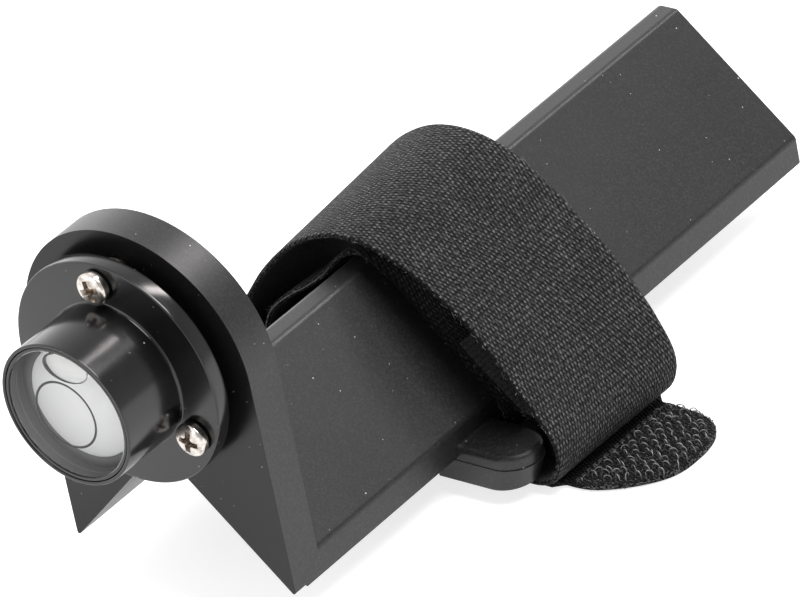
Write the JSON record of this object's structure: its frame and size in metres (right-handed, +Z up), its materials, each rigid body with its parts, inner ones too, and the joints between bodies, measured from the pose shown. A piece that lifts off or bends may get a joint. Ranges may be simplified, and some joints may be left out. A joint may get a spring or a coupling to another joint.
{
  "type": "rod level",
  "caption": "Rod level: a V-shaped bracket with a round bubble vial on adjusting screws on its head plate and a hook-and-loop strap that ties it to a staff or pole.",
  "frame": {"origin": "on the bracket's symmetry plane, at the middle of the strap's width, on the underside of the strap's lowest layer, which the level rests on", "axes": "+Z up from the resting face to the ridge of the V bracket, +Y along the bracket from the vial towards the plain tail end, +X towards the side on which the strap's free end comes out"},
  "size_m": [0.0877, 0.1563, 0.0693],
  "materials": {
    "moulded_black": "satin moulded",
    "gloss_black_metal": "gloss black",
    "bright_screw": "bright nickel",
    "spring_steel": "blackened wire",
    "brass": "machined",
    "white_disc": "matt white",
    "vial_grey": "satin dark grey",
    "clear_lens": "polished clear",
    "bubble": "clear air bubble",
    "seal_rubber": "matt",
    "strap_webbing": "woven, loop pile",
    "hook_tape": "hook tape"
  },
  "bodies": {
    "bracket_body": {"bracket": "moulded_black", "threaded_insert_top": "brass", "threaded_insert_right": "brass", "threaded_insert_left": "brass", "spring_top": "spring_steel", "spring_right": "spring_steel", "spring_left": "spring_steel", "strap_band": "strap_webbing"},
    "vial_head": {"vial_housing": "gloss_black_metal", "vial_cup": "vial_grey", "target_disc": "white_disc", "vial_seal": "seal_rubber", "vial_lens": "clear_lens", "bezel_ring": "gloss_black_metal"},
    "screw_top": {"adjusting_screw_top": "bright_screw"},
    "screw_right": {"adjusting_screw_right": "bright_screw"},
    "screw_left": {"adjusting_screw_left": "bright_screw"},
    "vial_bubble": {"bubble": "bubble"},
    "strap_end": {"strap_tip": "strap_webbing", "hook_tab": "hook_tape"}
  },
  "joints": [
    {"name": "vial_tilt", "type": "hinge", "parent": "bracket_body", "child": "vial_head", "pos_m": [0, -0.0668, 0.03875], "axis": [1, 0, 0], "range_deg": [-1, 1], "deforming": ["spring_top", "spring_right", "spring_left"]},
    {"name": "screw_top_turn", "type": "hinge", "parent": "vial_head", "child": "screw_top", "pos_m": [0, -0.0629, 0.063], "axis": [0, -1, 0], "range_deg": [-304.8, 304.8]},
    {"name": "screw_right_turn", "type": "hinge", "parent": "bracket_body", "child": "screw_right", "pos_m": [0.014, -0.0629, 0.03875], "axis": [0, -1, 0], "range_deg": [-180, 180]},
    {"name": "screw_left_turn", "type": "hinge", "parent": "bracket_body", "child": "screw_left", "pos_m": [-0.014, -0.0629, 0.03875], "axis": [0, -1, 0], "range_deg": [-180, 180]},
    {"name": "bubble_travel", "type": "slide", "parent": "vial_head", "child": "vial_bubble", "axis": [0, 0, 1], "range_m": [-0.015, 0]},
    {"name": "strap_tip_peel", "type": "hinge", "parent": "bracket_body", "child": "strap_end", "pos_m": [0.03475, -0.0002, 0.00055], "axis": [0, -1, 0], "range_deg": [-60, 8]}
  ],
  "couplings": [
    {"joint": "screw_top_turn", "follows": "vial_tilt", "ratio": 304.83}
  ]
}
